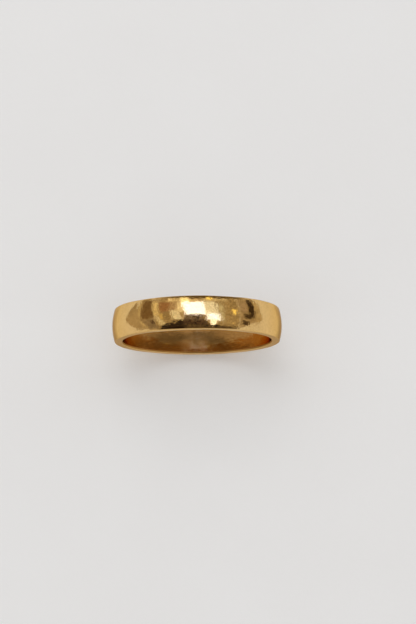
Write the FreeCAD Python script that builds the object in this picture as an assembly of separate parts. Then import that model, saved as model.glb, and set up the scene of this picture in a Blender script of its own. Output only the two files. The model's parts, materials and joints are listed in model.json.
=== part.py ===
"""Plain wedding band: a strip of D-section gold wire bent round and closed with one soldered butt joint.

Frame: millimetres, +Z up. The origin is the centre of the finger bore, whose axis is Y.
The band stands on edge, as it is worn or shown, with its soldered joint at the lowest point.
"""

import FreeCAD, Part
import math
import os

from FreeCAD import Vector

# Driving dimensions
INNER_CIRCUMFERENCE = 54.0  # ring size 54: the length round the inside
CROWN_THICKNESS = 1.25      # wall at the middle of the width
BAND_WIDTH = 3.75
CROWN_RISE = 0.28           # how far the domed outside stands above its own edges
OUTER_EDGE_RADIUS = 0.12    # crisp edge between the dome and each side face
INNER_EDGE_RADIUS = 0.22    # softened edge towards the finger
SOLDER_GAP = 0.12           # thickness of the solder between the two ends of the strip

# Worked-out dimensions
BORE_RADIUS = INNER_CIRCUMFERENCE / (2 * math.pi)
CROWN_RADIUS = BORE_RADIUS + CROWN_THICKNESS
HALF_WIDTH = BAND_WIDTH / 2
DOME_RADIUS = (HALF_WIDTH**2 + CROWN_RISE**2) / (2 * CROWN_RISE)
DOME_CENTRE = CROWN_RADIUS - DOME_RADIUS

RING_AXIS = Vector(0, 1, 0)
FULL_TURN = 360.0


def at(across, radius):
    """A point of the cross-section: across the width along Y, and out from the bore's axis along Z."""
    return Vector(0, across, radius)


def arc_about(across, radius, size, start, end):
    """An arc of the cross-section about (across, radius), between two directions in degrees from +Y to +Z."""
    points = []
    for angle in (start, (start + end) / 2, end):
        turn = math.radians(angle)
        points.append(at(across + size * math.cos(turn), radius + size * math.sin(turn)))
    return Part.Arc(*points).toShape()


def outer_edge_centre():
    """Centre of the edge arc between dome and side face at +Y, and its direction from the dome's centre."""
    across = HALF_WIDTH - OUTER_EDGE_RADIUS
    rise = math.sqrt((DOME_RADIUS - OUTER_EDGE_RADIUS) ** 2 - across**2)
    return across, DOME_CENTRE + rise, math.degrees(math.atan2(rise, across))


def cross_section():
    """The D-section: domed outside, flat inside, four rounded edges."""
    outer_across, outer_radius, dome_start = outer_edge_centre()
    inner_across = HALF_WIDTH - INNER_EDGE_RADIUS
    inner_radius = BORE_RADIUS + INNER_EDGE_RADIUS
    dome = arc_about(0, DOME_CENTRE, DOME_RADIUS, dome_start, 180 - dome_start)
    edges = [
        arc_about(outer_across, outer_radius, OUTER_EDGE_RADIUS, 0, dome_start),
        dome,
        arc_about(-outer_across, outer_radius, OUTER_EDGE_RADIUS, 180 - dome_start, 180),
        Part.makeLine(at(-HALF_WIDTH, outer_radius), at(-HALF_WIDTH, inner_radius)),
        arc_about(-inner_across, inner_radius, INNER_EDGE_RADIUS, 180, 270),
        Part.makeLine(at(-inner_across, BORE_RADIUS), at(inner_across, BORE_RADIUS)),
        arc_about(inner_across, inner_radius, INNER_EDGE_RADIUS, 270, 360),
        Part.makeLine(at(HALF_WIDTH, inner_radius), at(HALF_WIDTH, outer_radius)),
    ]
    return Part.Face(Part.Wire(edges))


def closed_ring():
    """The cross-section carried once round the bore's axis."""
    return cross_section().revolve(Vector(0, 0, 0), RING_AXIS, FULL_TURN)


def joint_slot():
    """The parallel-sided space at the bottom of the ring that the solder takes up."""
    reach = 2 * CROWN_RADIUS
    corner = Vector(-SOLDER_GAP / 2, -BAND_WIDTH, -reach)
    return Part.makeBox(SOLDER_GAP, 2 * BAND_WIDTH, reach, corner)


def make_band():
    """The bent strip, open by the width of the soldered joint."""
    return closed_ring().cut(joint_slot())


def make_solder_seam():
    """The film of solder, filed flush with the strip all round."""
    return closed_ring().common(joint_slot())


def single_solid(shape):
    """The one solid that a boolean result must hold."""
    if len(shape.Solids) != 1:
        raise ValueError(f"expected one solid, found {len(shape.Solids)}")
    return shape.Solids[0]


PARTS = {
    "band": make_band,
    "solder_seam": make_solder_seam,
}


def main():
    os.makedirs("parts", exist_ok=True)
    for name, make in PARTS.items():
        solid = single_solid(make())
        solid.exportStep(f"parts/{name}.step")
        print(f"{name}: valid {solid.isValid()}, {solid.Volume:.3f} mm3")
    print(f"bore diameter {2 * BORE_RADIUS:.3f} mm, outer diameter {2 * CROWN_RADIUS:.3f} mm")


main()
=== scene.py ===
"""A plain gold wedding band, standing on edge on a pale floor in soft studio light.

The band and its solder seam are swept meshes with the CAD model's section, and carry the marks of wear:
a slight unevenness, small dents and nicks, hairline scratches and a softly worn polish. Lengths are in
metres, in the CAD frame: Y is the bore's axis, and Z is up. A point of the surface is placed by its turn
round the bore, counted from the top towards +X, and by its place along the section.
"""

import json
import math

import bpy
import numpy as np
from mathutils import Matrix, Vector


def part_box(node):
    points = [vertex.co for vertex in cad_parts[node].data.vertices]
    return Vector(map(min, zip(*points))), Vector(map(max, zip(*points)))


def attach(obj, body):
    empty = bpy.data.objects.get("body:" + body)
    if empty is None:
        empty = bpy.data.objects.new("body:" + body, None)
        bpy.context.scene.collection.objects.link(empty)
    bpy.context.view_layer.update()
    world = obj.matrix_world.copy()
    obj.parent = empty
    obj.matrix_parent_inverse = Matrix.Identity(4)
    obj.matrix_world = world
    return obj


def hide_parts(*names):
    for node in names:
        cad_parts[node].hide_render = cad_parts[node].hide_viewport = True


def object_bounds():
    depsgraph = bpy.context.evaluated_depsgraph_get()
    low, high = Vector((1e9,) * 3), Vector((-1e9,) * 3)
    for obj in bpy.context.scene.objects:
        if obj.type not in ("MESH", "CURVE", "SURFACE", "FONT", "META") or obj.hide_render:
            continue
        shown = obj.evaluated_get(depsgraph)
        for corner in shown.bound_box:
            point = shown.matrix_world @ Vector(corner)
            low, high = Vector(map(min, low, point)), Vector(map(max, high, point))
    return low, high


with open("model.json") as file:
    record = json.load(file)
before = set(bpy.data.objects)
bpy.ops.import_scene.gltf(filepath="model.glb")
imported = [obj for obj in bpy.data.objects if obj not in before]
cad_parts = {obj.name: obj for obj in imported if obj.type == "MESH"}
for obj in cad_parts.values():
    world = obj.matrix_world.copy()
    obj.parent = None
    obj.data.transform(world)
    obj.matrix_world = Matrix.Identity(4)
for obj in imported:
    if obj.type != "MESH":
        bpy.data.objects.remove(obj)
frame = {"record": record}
CAD_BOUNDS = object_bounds()

MM = 0.001
MICRON = 0.000001

# --------------------------------------------------------------------------------------------------
# Sizes, from the frame where it holds them

BAND_LOW, BAND_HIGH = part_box("band")
SEAM_LOW, SEAM_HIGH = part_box("solder_seam")
BORE = next(m for m in frame["record"]["mounts"] if m["name"] == "finger_bore")["dims"]

CROWN_RADIUS = BAND_HIGH.z
HALF_WIDTH = (BAND_HIGH.y - BAND_LOW.y) / 2
BORE_RADIUS = BORE["r_mm"] * MM
INNER_EDGE_RADIUS = HALF_WIDTH - BORE["length_mm"] * MM / 2
OUTER_EDGE_RADIUS = 0.12 * MM
CROWN_RISE = 0.28 * MM
HALF_GAP = (SEAM_HIGH.x - SEAM_LOW.x) / 2

DOME_RADIUS = (HALF_WIDTH**2 + CROWN_RISE**2) / (2 * CROWN_RISE)
DOME_CENTRE = CROWN_RADIUS - DOME_RADIUS
FLOOR_LEVEL = CAD_BOUNDS[0].z

# --------------------------------------------------------------------------------------------------
# The section

BORE_STEPS = 15
EDGE_STEPS = 9
SIDE_STEPS = 11
DOME_STEPS = 23


def arc(across, radius, size, start, end, steps):
    """Points and outward normals along an arc about (across, radius), less its end. Directions in degrees."""
    angles = np.radians(start + (end - start) * np.arange(steps) / steps)
    normals = np.stack([np.cos(angles), np.sin(angles)], axis=1)
    return np.array([across, radius]) + size * normals, normals


def line(start, end, normal, steps):
    """Points and outward normals along a straight stretch, less its end."""
    share = (np.arange(steps) / steps)[:, None]
    return np.array(start) * (1 - share) + np.array(end) * share, np.tile(normal, (steps, 1))


def half_section():
    """Points (y, radius) and normals from the middle of the bore, round by -Y, to the middle of the dome."""
    outer_across = HALF_WIDTH - OUTER_EDGE_RADIUS
    rise = math.sqrt((DOME_RADIUS - OUTER_EDGE_RADIUS) ** 2 - outer_across**2)
    outer_radius = DOME_CENTRE + rise
    dome_start = 180 - math.degrees(math.atan2(rise, outer_across))
    inner_across = HALF_WIDTH - INNER_EDGE_RADIUS
    inner_radius = BORE_RADIUS + INNER_EDGE_RADIUS
    stretches = [
        line((0, BORE_RADIUS), (-inner_across, BORE_RADIUS), (0, -1), BORE_STEPS),
        arc(-inner_across, inner_radius, INNER_EDGE_RADIUS, 270, 180, EDGE_STEPS),
        line((-HALF_WIDTH, inner_radius), (-HALF_WIDTH, outer_radius), (-1, 0), SIDE_STEPS),
        arc(-outer_across, outer_radius, OUTER_EDGE_RADIUS, 180, dome_start, EDGE_STEPS),
        arc(0, DOME_CENTRE, DOME_RADIUS, dome_start, 90, DOME_STEPS),
    ]
    points = np.concatenate([s[0] for s in stretches])
    normals = np.concatenate([s[1] for s in stretches])
    return points, normals


def whole_section():
    """The closed section: points, outward normals, and how far each lies along it from the bore's middle."""
    points, normals = half_section()
    crown_point, crown_normal = np.array([[0, CROWN_RADIUS]]), np.array([[0.0, 1.0]])
    mirror = np.array([-1, 1])
    points = np.concatenate([points, crown_point, (points[1:] * mirror)[::-1]])
    normals = np.concatenate([normals, crown_normal, (normals[1:] * mirror)[::-1]])
    steps = np.linalg.norm(np.roll(points, -1, axis=0) - points, axis=1)
    return points, normals, np.concatenate([[0], np.cumsum(steps)])


SECTION, SECTION_NORMALS, SECTION_RUN = whole_section()
SECTION_LENGTH = SECTION_RUN[-1]
RUN_TO_CROWN = SECTION_LENGTH / 2

# --------------------------------------------------------------------------------------------------
# Wear in the shape: each mark gives a depth, and its slope round the band and along the section

WEAR_SEED = 54

WAVES = 90
WAVE_SLOPE = 0.0075
FEWEST_WAVES_ROUND = 6
MOST_WAVES_ROUND = 70
MOST_WAVES_ALONG = 8
SHORT_WAVE = 2.5 * MM

DENT_STRETCH = (0.7, 1.8)
DOME_DENTS = 34
DOME_DENT_SIZES = (0.10 * MM, 0.30 * MM)
DOME_DENT_DEPTHS = (1.5 * MICRON, 6 * MICRON)
EDGE_DENTS = 14
EDGE_DENT_SIZES = (0.10 * MM, 0.22 * MM)
EDGE_DENT_DEPTHS = (3 * MICRON, 9 * MICRON)
EDGE_REACH = 0.1 * MM


def waviness(turn, run, random):
    """A faint unevenness left by filing, polishing and wear, as a sum of waves that close round the band.

    WAVE_SLOPE is the root mean square of its slope. Waves shorter than SHORT_WAVE count for less and less.
    """
    round_rate = random.integers(FEWEST_WAVES_ROUND, MOST_WAVES_ROUND, WAVES)
    along_rate = random.integers(-MOST_WAVES_ALONG, MOST_WAVES_ALONG + 1, WAVES)
    phases = random.uniform(0, 2 * math.pi, WAVES)
    along = along_rate * 2 * math.pi / SECTION_LENGTH
    rates = np.hypot(round_rate / CROWN_RADIUS, along)
    slopes = 1 / (1 + (rates * SHORT_WAVE / (2 * math.pi)) ** 2)
    slopes *= WAVE_SLOPE / math.sqrt((slopes**2).sum() / 2)
    depth = np.zeros(np.broadcast(turn, run).shape)
    slope_round, slope_along = depth.copy(), depth.copy()
    for per_turn, per_metre, phase, size in zip(round_rate, along, phases, slopes / rates):
        angle = per_turn * turn + per_metre * run + phase
        depth += size * np.sin(angle)
        slope_round += size * per_turn / CROWN_RADIUS * np.cos(angle)
        slope_along += size * per_metre * np.cos(angle)
    return depth, slope_round, slope_along


def dents(turn, run, random, count, places, sizes, depths):
    """Small dents, each at a random turn, and at a random place along the section within places.

    A dent may be stretched round the band. Its slope that way is left as if it were round.
    """
    depth = np.zeros(np.broadcast(turn, run).shape)
    slope_round, slope_along = depth.copy(), depth.copy()
    for _ in range(count):
        size = random.uniform(*sizes)
        deep = random.uniform(*depths)
        away_turn = (turn - random.uniform(-math.pi, math.pi) + math.pi) % (2 * math.pi) - math.pi
        x = away_turn * CROWN_RADIUS / (size * random.uniform(*DENT_STRETCH))
        y = (run - random.uniform(*places)) / size
        hollow = -deep * np.exp(-(x**2) - y**2)
        depth += hollow
        slope_round += -2 * x * hollow / size
        slope_along += -2 * y * hollow / size
    return depth, slope_round, slope_along


def worn(turn, run):
    """Depth and slopes of all the wear at each point."""
    random = np.random.default_rng(WEAR_SEED)
    edge = RUN_TO_CROWN - HALF_WIDTH
    dome = (edge, RUN_TO_CROWN + HALF_WIDTH)
    marks = [
        waviness(turn, run, random),
        dents(turn, run, random, DOME_DENTS, dome, DOME_DENT_SIZES, DOME_DENT_DEPTHS),
    ]
    for place in (edge, SECTION_LENGTH - edge):
        nearby = (place - EDGE_REACH, place + EDGE_REACH)
        marks.append(dents(turn, run, random, EDGE_DENTS, nearby, EDGE_DENT_SIZES, EDGE_DENT_DEPTHS))
    return [sum(parts) for parts in zip(*marks)]


# --------------------------------------------------------------------------------------------------
# Sweeping the section

# The band's columns of points are close together beside the joint, at these distances from it. Further
# away they are even, and JOINT_SHARE is the share of each half turn that the even ones leave free.
JOINT_COLUMNS = np.array([0, 10, 20, 32, 50, 80]) * MICRON
JOINT_SHARE = 0.004
BAND_COLUMNS = 632
SEAM_COLUMNS = 13

JOINT_ROUNDING = 1.2 * MICRON
JOINT_ROUNDING_WIDTH = 25 * MICRON
SURFACE_MAP = "Surface_mm"


def worn_surface(turns, from_joint, away):
    """Points, normals and the direction round the band, for the section carried through the given turns.

    turns holds columns by points. from_joint is each point's distance from the joint, where the metal is
    rounded over a little. away is 1 where that distance grows with the turn, and -1 where it shrinks.
    """
    run = SECTION_RUN[:-1][None, :]
    depth, slope_round, slope_along = worn(turns, run)
    rounding = -JOINT_ROUNDING * np.exp(-((from_joint / JOINT_ROUNDING_WIDTH) ** 2))
    depth = depth + rounding
    slope_round = slope_round - 2 * from_joint * rounding / JOINT_ROUNDING_WIDTH**2 * away

    sine, cosine = np.sin(turns), np.cos(turns)
    across, radius = SECTION[:, 0][None, :], SECTION[:, 1][None, :]
    out_y, out_r = SECTION_NORMALS[:, 0][None, :], SECTION_NORMALS[:, 1][None, :]
    flat = np.zeros_like(turns)
    outward = np.stack([out_r * sine, flat + out_y, out_r * cosine], axis=-1)
    round_way = np.stack([cosine, flat, -sine], axis=-1)
    along_way = np.cross(outward, round_way)
    points = np.stack([radius * sine, flat + across, radius * cosine], axis=-1)
    points = points + outward * depth[..., None]
    normals = outward - round_way * slope_round[..., None] - along_way * slope_along[..., None]
    normals /= np.linalg.norm(normals, axis=-1, keepdims=True)
    return points, normals, round_way


def wall_faces(index):
    """Four-cornered faces between each column of points and the next."""
    after = np.roll(index, -1, axis=1)
    return np.stack([index[:-1], index[1:], after[1:], after[:-1]], axis=-1).reshape(-1, 4).tolist()


def cap_faces(loop, flip):
    """The flat end of a sweep, as strips from each point of the section to its mirror image."""
    count = len(loop)
    faces = []
    for k in range(count // 2):
        corners = [loop[k], loop[k + 1], loop[-(k + 1) % count], loop[-k % count]]
        corners = list(dict.fromkeys(int(c) for c in corners))
        faces.append(corners[::-1] if flip else corners)
    return faces


def wall_places(turns):
    """Where each wall face's corners lie, in millimetres: round the band, and along the section."""
    columns, count = turns.shape
    round_mm = (turns * CROWN_RADIUS / MM)[:, np.arange(count + 1) % count]
    run_mm = np.tile(SECTION_RUN / MM, (columns, 1))
    places = np.stack([round_mm, run_mm], axis=-1)
    corners = [places[:-1, :-1], places[1:, :-1], places[1:, 1:], places[:-1, 1:]]
    return np.stack(corners, axis=2).reshape(-1, 2)


def swept(name, turns, from_joint, away):
    """The worn section carried through the given turns, closed by a flat cap at each end."""
    points, normals, round_way = worn_surface(turns, from_joint, away)
    index = np.arange(turns.size).reshape(turns.shape)
    walls = wall_faces(index)
    faces = walls + cap_faces(index[0], False) + cap_faces(index[-1], True)
    mesh = bpy.data.meshes.new(name)
    mesh.from_pydata(points.reshape(-1, 3).tolist(), [], faces)
    mesh.polygons.foreach_set("use_smooth", np.ones(len(faces), bool))

    loops = np.empty(len(mesh.loops), int)
    mesh.loops.foreach_get("vertex_index", loops)
    wall_loops = 4 * len(walls)
    cap_loops = (len(loops) - wall_loops) // 2
    loop_normals = normals.reshape(-1, 3)[loops]
    loop_normals[wall_loops:-cap_loops] = -round_way[0, 0]
    loop_normals[-cap_loops:] = round_way[-1, 0]

    uvs = np.zeros((len(loops), 2))
    uvs[:wall_loops] = wall_places(turns)
    layer = mesh.uv_layers.new(name=SURFACE_MAP)
    layer.data.foreach_set("uv", uvs.ravel())
    mesh.update()
    mesh.normals_split_custom_set(loop_normals.tolist())

    piece = bpy.data.objects.new(name, mesh)
    bpy.context.scene.collection.objects.link(piece)
    return piece


def joint_turn(radius):
    """The turn at which a point of that radius reaches the joint's flat face, on the +X side."""
    return math.pi - np.arcsin(HALF_GAP / radius)


def make_band():
    """The bent strip, from one side of the joint right round to the other."""
    fine = JOINT_COLUMNS / (math.pi * CROWN_RADIUS)
    even = np.linspace(-1 + JOINT_SHARE, 1 - JOINT_SHARE, BAND_COLUMNS)
    shares = np.concatenate([fine - 1, even, (1 - fine)[::-1]])
    radius = SECTION[:, 1]
    turns = shares[:, None] * joint_turn(radius)[None, :]
    from_joint = (joint_turn(radius)[None, :] - np.abs(turns)) * radius[None, :]
    return swept("Gold_Band", turns, from_joint, -np.sign(turns))


def make_seam():
    """The solder between the strip's ends."""
    radius = SECTION[:, 1]
    places = np.linspace(HALF_GAP, -HALF_GAP, SEAM_COLUMNS)[:, None]
    turns = math.pi - np.arcsin(places / radius[None, :])
    return swept("Solder_Seam", turns, HALF_GAP - np.abs(places), np.sign(places))


# --------------------------------------------------------------------------------------------------
# Materials


class Graph:
    """A new material and short ways to add nodes to it.

    An input is a number, a colour, a place or another node's output.
    """

    def __init__(self, name):
        self.material = bpy.data.materials.new(name)
        self.material.use_nodes = True
        self.tree = self.material.node_tree
        self.tree.nodes.clear()

    def add(self, kind, inputs=(), **settings):
        node = self.tree.nodes.new(kind)
        for key, value in settings.items():
            setattr(node, key, value)
        for socket, value in dict(inputs).items():
            if isinstance(value, bpy.types.NodeSocket):
                self.tree.links.new(value, node.inputs[socket])
            else:
                node.inputs[socket].default_value = value
        return node

    def maths(self, operation, first, second=0.0):
        return self.add("ShaderNodeMath", {0: first, 1: second}, operation=operation).outputs[0]

    def times(self, first, second):
        return self.maths("MULTIPLY", first, second)

    def plus(self, first, second):
        return self.maths("ADD", first, second)

    def one_less(self, value):
        return self.maths("SUBTRACT", 1.0, value)

    def ramp(self, value, low, high, out_low=0.0, out_high=1.0):
        """value carried smoothly from low..high to out_low..out_high."""
        inputs = {"Value": value, "From Min": low, "From Max": high, "To Min": out_low, "To Max": out_high}
        node = self.add("ShaderNodeMapRange", inputs, interpolation_type="SMOOTHSTEP")
        return node.outputs["Result"]

    def noise(self, place, scale, detail=2.0, roughness=0.5, distortion=0.0, dimensions="3D"):
        inputs = {"Vector": place, "Scale": scale, "Detail": detail, "Roughness": roughness}
        inputs["Distortion"] = distortion
        return self.add("ShaderNodeTexNoise", inputs, noise_dimensions=dimensions).outputs["Fac"]

    def mapped(self, place, scale=(1, 1, 1), turn=0.0, move=(0, 0, 0)):
        inputs = {"Vector": place, "Location": move, "Rotation": (0, 0, math.radians(turn)), "Scale": scale}
        return self.add("ShaderNodeMapping", inputs).outputs["Vector"]

    def mix(self, share, first, second, blend="MIX"):
        node = self.add("ShaderNodeMix", data_type="RGBA", blend_type=blend)
        for socket, value in ((0, share), (6, first), (7, second)):
            if isinstance(value, bpy.types.NodeSocket):
                self.tree.links.new(value, node.inputs[socket])
            else:
                node.inputs[socket].default_value = value
        return node.outputs[2]

    def finish(self, shader):
        output = self.add("ShaderNodeOutputMaterial")
        self.tree.links.new(shader, output.inputs["Surface"])
        return self.material


def surface_mm(graph):
    """The place on the surface, in millimetres: x runs round the band and y along the section."""
    return graph.add("ShaderNodeUVMap", uv_map=SURFACE_MAP).outputs["UV"]


def solid_mm(graph):
    """The place in space, in millimetres."""
    place = graph.add("ShaderNodeTexCoord").outputs["Object"]
    return graph.mapped(place, scale=(1 / MM, 1 / MM, 1 / MM))


SCRATCH_BREAKS_SCALE = 0.9
SCRATCH_BREAKS_RANGE = (0.50, 0.60)


def hairlines(graph, surface, turn, stretch, pitch, width, seed):
    """Long fine scratches in one direction: 1 in a scratch and 0 outside.

    They are contours of stretched noise, broken up by a second noise.
    """
    place = graph.mapped(surface, turn=turn, move=(seed, 3 * seed, 0))
    place = graph.mapped(place, scale=(1 / stretch, 1, 1))
    ridges = graph.noise(place, 1 / pitch, detail=1.0, dimensions="2D")
    away = graph.maths("ABSOLUTE", graph.maths("SUBTRACT", ridges, 0.5))
    lines = graph.ramp(away, 0.0, width, 1.0, 0.0)
    breaks = graph.mapped(surface, turn=turn, move=(0, seed, 0))
    kept = graph.noise(breaks, SCRATCH_BREAKS_SCALE, detail=2.0, dimensions="2D")
    return graph.times(lines, graph.ramp(kept, *SCRATCH_BREAKS_RANGE))


def pits(graph, surface, cell, size, share):
    """Round pits, in that share of the cells: 1 at a pit's middle."""
    inputs = {"Vector": surface, "Scale": 1 / cell}
    place = graph.add("ShaderNodeTexVoronoi", inputs, voronoi_dimensions="2D")
    draw = graph.add("ShaderNodeSeparateColor", {0: place.outputs["Color"]}).outputs[0]
    chosen = graph.maths("LESS_THAN", draw, share)
    return graph.times(graph.ramp(place.outputs["Distance"], 0.0, size / cell, 1.0, 0.0), chosen)


def bumped(graph, height, microns, normal=None):
    """A surface normal pushed by a height from 0 to 1 that stands for so many microns."""
    inputs = {"Height": height, "Distance": microns * MICRON, "Strength": 1.0}
    if normal is not None:
        inputs["Normal"] = normal
    return graph.add("ShaderNodeBump", inputs).outputs["Normal"]


GRAZING_TINT = (0.93, 0.77, 0.51, 1)  # of what the gold mirrors at a shallow angle
DULL_SHARE = (0.87, 0.845, 0.80, 1)  # what a dull speck leaves of each colour

# Noise scales, in cells per millimetre, and the ranges of noise that are spread out into the marks
PATCH_SCALE = 0.35
PATCH_RANGE = (0.35, 0.7)
SPECKLE_SCALE = 5.5
SPECKLE_RANGE = (0.35, 0.6)
SMEAR_SCALE = 0.8
SMEAR_RANGE = (0.3, 0.75)
SMEAR_SHIFT = (7, 3, 1)
RIPPLE_SCALE = 2.9
RIPPLE_STRETCH = (1, 0.7, 1)
GRAIN_SCALE = 7.0
POLISH_SCALE = 11.0
POLISH_STRETCH = (0.03, 1, 1)

# Scratches: their direction in degrees, stretch, spacing in millimetres, width as a range of noise, and seed
SCRATCHES = (
    (4, 9, 0.55, 0.035, 1.7),
    (-17, 7, 0.7, 0.03, 5.1),
    (38, 6, 0.8, 0.03, 9.4),
    (-66, 5, 0.9, 0.03, 13.3),
)

# Pits and finer pricks: cell and size in millimetres, then the share of cells that hold one
PITS = (0.55, 0.05, 0.4)
PRICKS = (0.30, 0.11, 0.4)
PRICK_SQUASH = (1, 1.3, 1)
PRICK_TURN = 20

# Added to the roughness: from the clearest to the most smeared polish, in a scratch, and in a pit
CLEAR_ROUGHNESS = -0.02
SMEAR_ROUGHNESS = 0.04
SCRATCH_ROUGHNESS = 0.06
PIT_ROUGHNESS = 0.1

# Heights of the fine relief, in microns
RIPPLE_HEIGHT = 5.0
GRAIN_HEIGHT = 1.2
PRICK_DEPTH = 2.2
POLISH_HEIGHT = 0.4
SCRATCH_DEPTH = 0.9
PIT_DEPTH = 2.0


def uneven_colour(graph, solid, colour, warm_colour):
    """Colour in warmer and cooler patches, dulled a little by fine speckle."""
    patches = graph.noise(solid, PATCH_SCALE, detail=3.0)
    patchy = graph.mix(graph.ramp(patches, *PATCH_RANGE), colour, warm_colour)
    speckle = graph.noise(solid, SPECKLE_SCALE, detail=4.0, roughness=0.65)
    dulled = graph.mix(1.0, patchy, DULL_SHARE, "MULTIPLY")
    return graph.mix(graph.ramp(speckle, *SPECKLE_RANGE), dulled, patchy)


def all_scratches(graph, surface):
    """1 in any scratch and 0 outside."""
    scratched = hairlines(graph, surface, *SCRATCHES[0])
    for scratch in SCRATCHES[1:]:
        scratched = graph.maths("MAXIMUM", scratched, hairlines(graph, surface, *scratch))
    return scratched


def uneven_gloss(graph, solid, roughness, scratched, pitted):
    """Roughness smeared over the surface, and higher in scratches and pits."""
    smears = graph.noise(graph.mapped(solid, move=SMEAR_SHIFT), SMEAR_SCALE, detail=4.0, distortion=0.6)
    clear, smeared = roughness + CLEAR_ROUGHNESS, roughness + SMEAR_ROUGHNESS
    gloss = graph.ramp(smears, *SMEAR_RANGE, clear, smeared)
    gloss = graph.plus(gloss, graph.times(scratched, SCRATCH_ROUGHNESS))
    return graph.plus(gloss, graph.times(pitted, PIT_ROUGHNESS))


def fine_relief(graph, surface, solid, scratched, pitted):
    """A normal for the relief that is too fine for the mesh."""
    rippled = graph.mapped(surface, scale=RIPPLE_STRETCH)
    ripple = graph.noise(rippled, RIPPLE_SCALE, detail=1.0, dimensions="2D")
    grain = graph.noise(solid, GRAIN_SCALE, detail=3.0, roughness=0.6)
    pricked = pits(graph, graph.mapped(surface, scale=PRICK_SQUASH, turn=PRICK_TURN), *PRICKS)
    lengthways = graph.mapped(surface, scale=POLISH_STRETCH)
    polish_lines = graph.noise(lengthways, POLISH_SCALE, detail=3.0, dimensions="2D")
    normal = bumped(graph, ripple, RIPPLE_HEIGHT)
    normal = bumped(graph, grain, GRAIN_HEIGHT, normal)
    normal = bumped(graph, graph.one_less(pricked), PRICK_DEPTH, normal)
    normal = bumped(graph, polish_lines, POLISH_HEIGHT, normal)
    normal = bumped(graph, graph.one_less(scratched), SCRATCH_DEPTH, normal)
    return bumped(graph, graph.one_less(pitted), PIT_DEPTH, normal)


def polished_gold(name, colour, warm_colour, roughness):
    """Worn polish on gold: uneven colour, smeared gloss, hairline scratches, pits and a fine grain."""
    graph = Graph(name)
    surface, solid = surface_mm(graph), solid_mm(graph)
    scratched = all_scratches(graph, surface)
    pitted = pits(graph, surface, *PITS)
    shader = graph.add("ShaderNodeBsdfPrincipled", {
        "Base Color": uneven_colour(graph, solid, colour, warm_colour),
        "Metallic": 1.0,
        "Roughness": uneven_gloss(graph, solid, roughness, scratched, pitted),
        "Specular Tint": GRAZING_TINT,
        "Normal": fine_relief(graph, surface, solid, scratched, pitted),
    })
    return graph.finish(shader.outputs["BSDF"])


FLOOR_COLOURS = (0.93, 0.925, 0.92, 1), (0.94, 0.937, 0.933, 1)
FLOOR_MOTTLE_SCALE = 0.06
FLOOR_MOTTLE_RANGE = (0.3, 0.7)
FLOOR_GRAIN_SCALE = 2.2
FLOOR_GRAIN_HEIGHT = 25


def pale_floor():
    """Matt off-white card with a very faint mottle."""
    graph = Graph("Pale_Floor")
    solid = solid_mm(graph)
    mottle = graph.ramp(graph.noise(solid, FLOOR_MOTTLE_SCALE, detail=4.0), *FLOOR_MOTTLE_RANGE)
    grain = graph.noise(solid, FLOOR_GRAIN_SCALE, detail=3.0)
    shader = graph.add("ShaderNodeBsdfPrincipled", {
        "Base Color": graph.mix(mottle, *FLOOR_COLOURS),
        "Roughness": 0.9,
        "Specular IOR Level": 0.2,
        "Normal": bumped(graph, grain, FLOOR_GRAIN_HEIGHT),
    })
    return graph.finish(shader.outputs["BSDF"])


CARD_MAP = "Card"
CARD_NOISE_SCALE = 72  # cells per metre
CARD_NOISE_RANGE = (0.37, 0.63)


def glow(name, colour, edge, mottle):
    """A glowing card: soft over a share of its size at each edge, and uneven by up to the share mottle."""
    graph = Graph(name)
    place = graph.add("ShaderNodeUVMap", uv_map=CARD_MAP).outputs["UV"]
    parts = graph.add("ShaderNodeSeparateXYZ", {0: place}).outputs
    inside = 1.0
    for part in parts[:2]:
        for side in (part, graph.one_less(part)):
            inside = graph.maths("MINIMUM", inside, side)
    position = graph.add("ShaderNodeTexCoord").outputs["Object"]
    uneven = graph.noise(position, CARD_NOISE_SCALE, detail=3.0, roughness=0.65)
    strength = graph.ramp(uneven, *CARD_NOISE_RANGE, 1 - mottle, 1 + mottle)
    light = graph.add("ShaderNodeEmission", {"Color": (*colour, 1), "Strength": strength}).outputs[0]
    clear = graph.add("ShaderNodeBsdfTransparent").outputs[0]
    mixed = graph.add("ShaderNodeMixShader", {0: graph.ramp(inside, 0.0, edge), 1: clear, 2: light})
    return graph.finish(mixed.outputs[0])


# --------------------------------------------------------------------------------------------------
# Studio

WORLD_COLOUR = (0.73, 0.722, 0.715, 1)
HORIZON_SHARE = 0.945
FULL_LIGHT_HEIGHT = 0.4
FLOOR_RADIUS = 1.3
FLOOR_SIDES = 96


def make_world():
    """A pale surround like a light tent, a little dimmer at the horizon to keep the line there faint."""
    world = bpy.data.worlds.new("Light_Tent")
    world.use_nodes = True
    nodes, links = world.node_tree.nodes, world.node_tree.links
    background = nodes["Background"]
    background.inputs["Color"].default_value = WORLD_COLOUR
    direction = nodes.new("ShaderNodeTexCoord")
    parts = nodes.new("ShaderNodeSeparateXYZ")
    strength = nodes.new("ShaderNodeMapRange")
    strength.inputs["From Max"].default_value = FULL_LIGHT_HEIGHT
    strength.inputs["To Min"].default_value = HORIZON_SHARE
    links.new(direction.outputs["Generated"], parts.inputs[0])
    links.new(parts.outputs["Z"], strength.inputs["Value"])
    links.new(strength.outputs["Result"], background.inputs["Strength"])
    bpy.context.scene.world = world


def make_floor():
    """A large round floor under the band."""
    place = (0, 0, FLOOR_LEVEL)
    bpy.ops.mesh.primitive_circle_add(
        vertices=FLOOR_SIDES, radius=FLOOR_RADIUS, fill_type="NGON", location=place
    )
    floor = bpy.context.object
    floor.name = "Floor"
    floor.data.materials.append(pale_floor())


def towards(across, forward):
    """The direction that leans so many degrees from straight up towards +X, and so many towards +Y."""
    a, b = math.radians(across), math.radians(forward)
    return Vector((math.sin(a) * math.cos(b), math.sin(b), math.cos(a) * math.cos(b)))


CARD_STEPS = 12
FARTHEST_CARD = 0.41
CARD_SPACING = 0.0025

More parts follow.
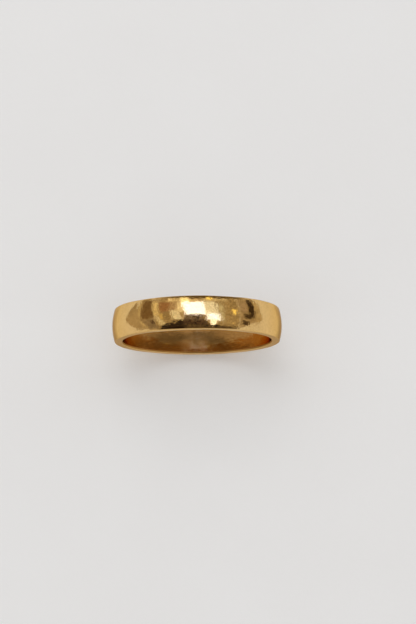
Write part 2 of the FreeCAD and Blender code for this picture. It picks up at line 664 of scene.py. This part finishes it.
DISC_STEPS = 64
DISC_EDGE = 0.01
DISC_MOTTLE = 0.5

FLOOR_CARD_LIFT = 0.1 * MM
FLOOR_CARD_EDGE = 0.45
FLOOR_CARD_MOTTLE = 0.2


def stage_card(name, mesh, places, material):
    """Puts a card in the studio, to show only in reflections. places says where on the card a corner is."""
    layer = mesh.uv_layers.new(name=CARD_MAP)
    for loop in mesh.loops:
        layer.data[loop.index].uv = places[loop.vertex_index]
    card = bpy.data.objects.new(name, mesh)
    bpy.context.scene.collection.objects.link(card)
    mesh.materials.append(material)
    card.visible_camera = False
    card.visible_diffuse = False
    card.visible_shadow = False


def make_card(name, corners, colour, edge, mottle, distance, centre=(0, 0, 0)):
    """A card for the gold to reflect, between four directions in degrees, given in order round it."""
    a, b, c, d = (np.array(corner, float) for corner in corners)
    points, faces, places = [], [], []
    for i in range(CARD_STEPS + 1):
        for j in range(CARD_STEPS + 1):
            u, v = i / CARD_STEPS, j / CARD_STEPS
            place = (a * (1 - u) + b * u) * (1 - v) + (d * (1 - u) + c * u) * v
            points.append(Vector(centre) + towards(*place) * distance)
            places.append((u, v))
    row = CARD_STEPS + 1
    for i in range(CARD_STEPS):
        for j in range(CARD_STEPS):
            first = i * row + j
            faces.append((first, first + row, first + row + 1, first + 1))
    mesh = bpy.data.meshes.new(name)
    mesh.from_pydata(points, [], faces)
    stage_card(name, mesh, places, glow(name, colour, edge, mottle))


def make_floor_shade_card(name, low, high, colour):
    """A level card of painted shade just above the floor, soft all round, between two opposite corners in
    millimetres.
    """
    corners = [(low[0], low[1]), (high[0], low[1]), (high[0], high[1]), (low[0], high[1])]
    level = FLOOR_LEVEL + FLOOR_CARD_LIFT
    mesh = bpy.data.meshes.new(name)
    mesh.from_pydata([(x * MM, y * MM, level) for x, y in corners], [], [(0, 1, 2, 3)])
    material = glow(name, colour, FLOOR_CARD_EDGE, FLOOR_CARD_MOTTLE)
    stage_card(name, mesh, [(0, 0), (1, 0), (1, 1), (0, 1)], material)


def make_disc_card(name, across, radius, colour):
    """An upright round card that faces along Y."""
    turns = [2 * math.pi * k / DISC_STEPS for k in range(DISC_STEPS)]
    mesh = bpy.data.meshes.new(name)
    rim = [(radius * math.sin(turn), across, radius * math.cos(turn)) for turn in turns]
    mesh.from_pydata(rim, [], [tuple(range(DISC_STEPS))])
    middle = (0.5, 0.5)
    stage_card(name, mesh, [middle] * DISC_STEPS, glow(name, colour, DISC_EDGE, DISC_MOTTLE))


DAYLIGHT = (2.0, 2.4, 4.2)
PALE_DAYLIGHT = (0.93, 1.04, 1.22)
LAMP = (1.25, 1.1, 0.45)
OLIVE = (0.37, 0.31, 0.21)
BLACK = (0.02, 0.012, 0.008)

# Each card: its name, the directions of its corners, its colour, how soft its edges are, and how uneven
# it is. Later cards stand in front of earlier ones.
CARDS = (
    ("Wall_Left", [(-90, 38), (-58, 38), (-58, -21), (-90, -10)], (0.40, 0.345, 0.265), 0.02, 0.08),
    ("Wall_Right", [(58, 38), (92, 32), (92, 2), (58, -18)], (0.37, 0.31, 0.23), 0.02, 0.3),
    ("Wall_Middle", [(-58, 38), (58, 38), (58, -85), (-58, -85)], OLIVE, 0.01, 0.4),
    ("Ceiling", [(-64, 38), (88, 35), (60, 80), (-60, 80)], (0.11, 0.08, 0.045), 0.02, 0.1),
    ("Board_Edge", [(-90.5, 31), (-84, 31), (-80, 2), (-86.5, 2)], (0.54, 0.48, 0.35), 0.25, 0.1),
    ("Board_Foot", [(-86.5, 4), (-80, 4), (-70, -13.5), (-73, -16)], (0.54, 0.48, 0.36), 0.25, 0.1),
    ("Brown_Board", [(-84.5, 33), (-69, 33), (-60, 3), (-80.5, 2)], (0.19, 0.13, 0.072), 0.03, 0.2),
    ("Low_Left", [(-80, 2), (-60, 3), (-52, -17), (-70, -16)], (0.26, 0.22, 0.18), 0.1, 0.35),
    ("Low_Left_Dark", [(-67, 0), (-60, 0), (-57, -8), (-65, -8)], (0.11, 0.08, 0.065), 0.3, 0.3),
    ("Cream_Strip", [(-68, 32), (-58.5, 32), (-49, 4), (-60, 4)], (0.73, 0.66, 0.46), 0.15, 0.25),
    ("Cream_Foot", [(-60, 6), (-50, 6), (-38, -14), (-50, -14)], (0.68, 0.67, 0.58), 0.2, 0.2),
    ("Rose_Board", [(-60, 31), (-24, 31), (-19, 8), (-50, 10)], (0.45, 0.36, 0.28), 0.06, 0.25),
    ("Red_Board", [(-59, 31), (-37, 31), (-39, 11), (-51, 11)], (0.33, 0.20, 0.12), 0.1, 0.2),
    ("Yellow_Board", [(-53, 12), (-46, 12), (-42, -4), (-49, -4)], (0.60, 0.50, 0.25), 0.3, 0.2),
    ("Umber_Board", [(-46, 12), (-36, 13), (-34, -4), (-43, -4)], (0.31, 0.255, 0.165), 0.2, 0.2),
    ("Cream_Corner", [(-37, 15), (-25, 16), (-17, -6), (-33, -6)], (0.84, 0.88, 0.88), 0.2, 0.25),
    ("Window_Haze", [(-31, 34), (-14, 34), (-10, 3), (-29, 8)], (0.95, 0.95, 0.85), 0.35, 0.2),
    ("Window_Lintel", [(-14, 37), (10, 33), (10, 26), (-16, 26)], (0.86, 0.80, 0.66), 0.25, 0.2),
    ("Shelf_Left", [(-45, 37), (-24, 38.5), (-27, 30), (-47, 31)], (0.74, 0.68, 0.54), 0.15, 0.3),
    ("Shelf_Spot", [(-44, 37.5), (-37, 37.5), (-37, 33), (-44, 33)], (0.98, 0.95, 0.92), 0.3, 0.05),
    ("Shelf_Right", [(4, 38), (48, 36), (48, 31), (4, 31)], (0.62, 0.59, 0.50), 0.15, 0.25),
    ("Window_Top", [(-26, 40), (-10, 40), (-10, 25), (-24, 25)], (1.5, 1.55, 1.3), 0.2, 0.2),
    ("Window_Side", [(8, 32), (29, 32), (31, 2), (10, 2)], PALE_DAYLIGHT, 0.12, 0.12),
    ("Window", [(-23, 30), (10, 30), (13, 3), (-15, 3.5)], DAYLIGHT, 0.06, 0.1),
    ("Curtain", [(28, 32), (37, 32), (39, -12), (30, -12)], (0.56, 0.57, 0.50), 0.3, 0.2),
    ("Window_Foot", [(12, 8), (33, 7), (35, -9), (11, -8)], (1.8, 2.2, 3.8), 0.25, 0.15),
    ("Window_Tip", [(15, -3), (31, -3), (25, -21), (21, -21)], (1.6, 1.8, 2.4), 0.3, 0.15),
    ("Lamp_Top", [(14, 40), (25, 40), (24, 33), (15, 33)], (1.7, 1.5, 0.6), 0.25, 0.1),
    ("Lamp_Side", [(47, 17.5), (54, 17.5), (53, 6.5), (46.5, 6.5)], LAMP, 0.2, 0.1),
    ("Lamp_Low", [(45, -7), (51, -7), (51, -11), (45, -11)], (0.9, 0.75, 0.45), 0.4, 0.1),
    ("Rose_Wall", [(58, 31), (76, 30), (74, 11), (58, 11)], (0.385, 0.32, 0.265), 0.15, 0.15),
    ("Post", [(74.5, 34), (87, 32), (83, 3), (75, 3)], (0.05, 0.034, 0.02), 0.1, 0.3),
    ("Post_Foot", [(63, 10), (78, 10), (78, 2), (64, 2.5)], (0.055, 0.038, 0.022), 0.15, 0.3),
    ("Low_Box", [(61, -0.5), (77, -1.5), (73, -11), (62, -10)], (0.085, 0.06, 0.04), 0.2, 0.5),
    ("Camera_Body", [(-17, 5), (9, 5), (14, -10), (-21, -10)], (0.155, 0.135, 0.14), 0.14, 1.0),
    ("Camera_Grip", [(-22, -5), (12, -6), (24, -19), (-24, -20)], (0.075, 0.052, 0.047), 0.12, 1.0),
    ("Sleeve", [(-52, -14), (-18, -3), (-13, -20), (-48, -21)], (0.036, 0.026, 0.022), 0.1, 0.9),
    ("Floor_Shade", [(-20, -14.5), (60, -15), (40, -60), (-20, -60)], (0.095, 0.075, 0.055), 0.05, 0.9),
    ("Floor_Edge", [(-56, -17), (-14, -16), (-14, -60), (-40, -60)], BLACK, 0.05, 0.3),
)

# The cards for the band's ends: as above, then the distance, and which end (-1 left, 1 right). They are
# measured from a point inside that end, at this share of the crown's radius and this height.
END_CARDS = (
    ("End_Left", [(-86, 38), (-109, 8), (-79, -13.5), (-74, 8)], (0.385, 0.33, 0.25), 0.04, 0.15,
     26 * MM, -1),
    ("End_Right", [(84, 32), (94, 30), (98, 4), (85, -9)], (0.46, 0.405, 0.305), 0.12, 0.15,
     120 * MM, 1),
)
END_SHARE = 0.975
END_HEIGHT = 2.5 * MM

# The round dark cards that close the bore for reflections, painted shade for the band's inside to mirror, a
# little wider than the bore and clear of the band
DISC_SHARE = 1.012
BORE_SHADE_COLOUR = (0.24, 0.18, 0.125)

# The dark cards on the floor, painted shade that the gold mirrors in place of the pale floor: two opposite
# corners in millimetres, and the colour
FLOOR_SHADE_CARDS = (
    ("Floor_Front", (-45, -75), (45, -8), (0.36, 0.32, 0.27)),
    ("Floor_Back", (-45, 8), (45, 75), (0.36, 0.32, 0.27)),
    ("Foot_Left", (-22, -10), (-3, 10), (0.38, 0.335, 0.28)),
    ("Foot_Right", (3, -10), (22, 10), (0.38, 0.335, 0.28)),
)


def make_cards():
    """The far cards, each a little nearer than the one before it, then those by the ends, and the dark cards
    of painted shade in the bore and on the floor.
    """
    for index, card in enumerate(CARDS):
        make_card(*card, FARTHEST_CARD - index * CARD_SPACING)
    for *card, distance, side in END_CARDS:
        make_card(*card, distance, (side * END_SHARE * CROWN_RADIUS, 0, END_HEIGHT))
    # Dark discs in the bore: painted shade that the inside of the band mirrors
    for name, side in (("Bore_Shade_Front", -1), ("Bore_Shade_Back", 1)):
        make_disc_card(name, side * DISC_SHARE * HALF_WIDTH, DISC_SHARE * BORE_RADIUS, BORE_SHADE_COLOUR)
    # Dark cards on the floor: painted shade for the gold to mirror
    for card in FLOOR_SHADE_CARDS:
        make_floor_shade_card(*card)


KEY_SIZE = (0.16, 0.20)
KEY_POWER = 0.12
KEY_DIRECTION = (-6, 22)
KEY_DISTANCE = 0.35


def make_key_light():
    """A broad soft light overhead, for the floor and its shadows."""
    light = bpy.data.lights.new("Key", "AREA")
    light.shape = "RECTANGLE"
    light.size, light.size_y = KEY_SIZE
    light.energy = KEY_POWER
    lamp = bpy.data.objects.new("Key", light)
    bpy.context.scene.collection.objects.link(lamp)
    direction = towards(*KEY_DIRECTION)
    lamp.location = direction * KEY_DISTANCE
    lamp.rotation_mode = "QUATERNION"
    lamp.rotation_quaternion = direction.to_track_quat("Z", "Y")
    lamp.visible_glossy = False


# The camera: nearly overhead, a little towards -Y, as in a close-up with a long lens. Angles in degrees.
CAMERA_ELEVATION = 80.407
CAMERA_DISTANCE = 220 * MM
CAMERA_AIM = Vector((1.288, 1.668, 0)) * MM
CAMERA_TILT = 0.507
LENS_MM = 109.134
SENSOR_MM = 36
CLIP_START = 1 * MM


def make_camera():
    """A camera that looks down on the crown, with the band a little left of the middle and below it."""
    camera = bpy.data.objects.new("Camera", bpy.data.cameras.new("Camera"))
    bpy.context.scene.collection.objects.link(camera)
    camera.data.lens = LENS_MM
    camera.data.sensor_width = SENSOR_MM
    camera.data.clip_start = CLIP_START
    camera.location = towards(0, CAMERA_ELEVATION - 90) * CAMERA_DISTANCE
    back = (camera.location - CAMERA_AIM).normalized()
    tilt = math.radians(CAMERA_TILT)
    right = Vector((math.sin(tilt), math.cos(tilt), 0)).cross(back).normalized()
    axes = Matrix((right, back.cross(right), back)).transposed()
    camera.rotation_mode = "QUATERNION"
    camera.rotation_quaternion = axes.to_quaternion()
    bpy.context.scene.camera = camera


# --------------------------------------------------------------------------------------------------
# The scene

GOLD = (0.90, 0.60, 0.245, 1)
WARM_GOLD = (0.885, 0.575, 0.225, 1)
GOLD_ROUGHNESS = 0.06
SOLDER = (0.88, 0.62, 0.29, 1)
WARM_SOLDER = (0.87, 0.60, 0.27, 1)
SOLDER_ROUGHNESS = 0.11


def main():
    gold = polished_gold("Polished_Gold", GOLD, WARM_GOLD, GOLD_ROUGHNESS)
    solder = polished_gold("Gold_Solder", SOLDER, WARM_SOLDER, SOLDER_ROUGHNESS)
    for piece, node, slot, material in (
        (make_band(), "band", "gold", gold),
        (make_seam(), "solder_seam", "gold_solder", solder),
    ):
        piece.data.materials.append(material)
        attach(piece, "root")
        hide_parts(node)
    make_world()
    make_floor()
    make_cards()
    make_key_light()
    make_camera()
    bpy.context.scene.view_settings.view_transform = "Standard"


main()
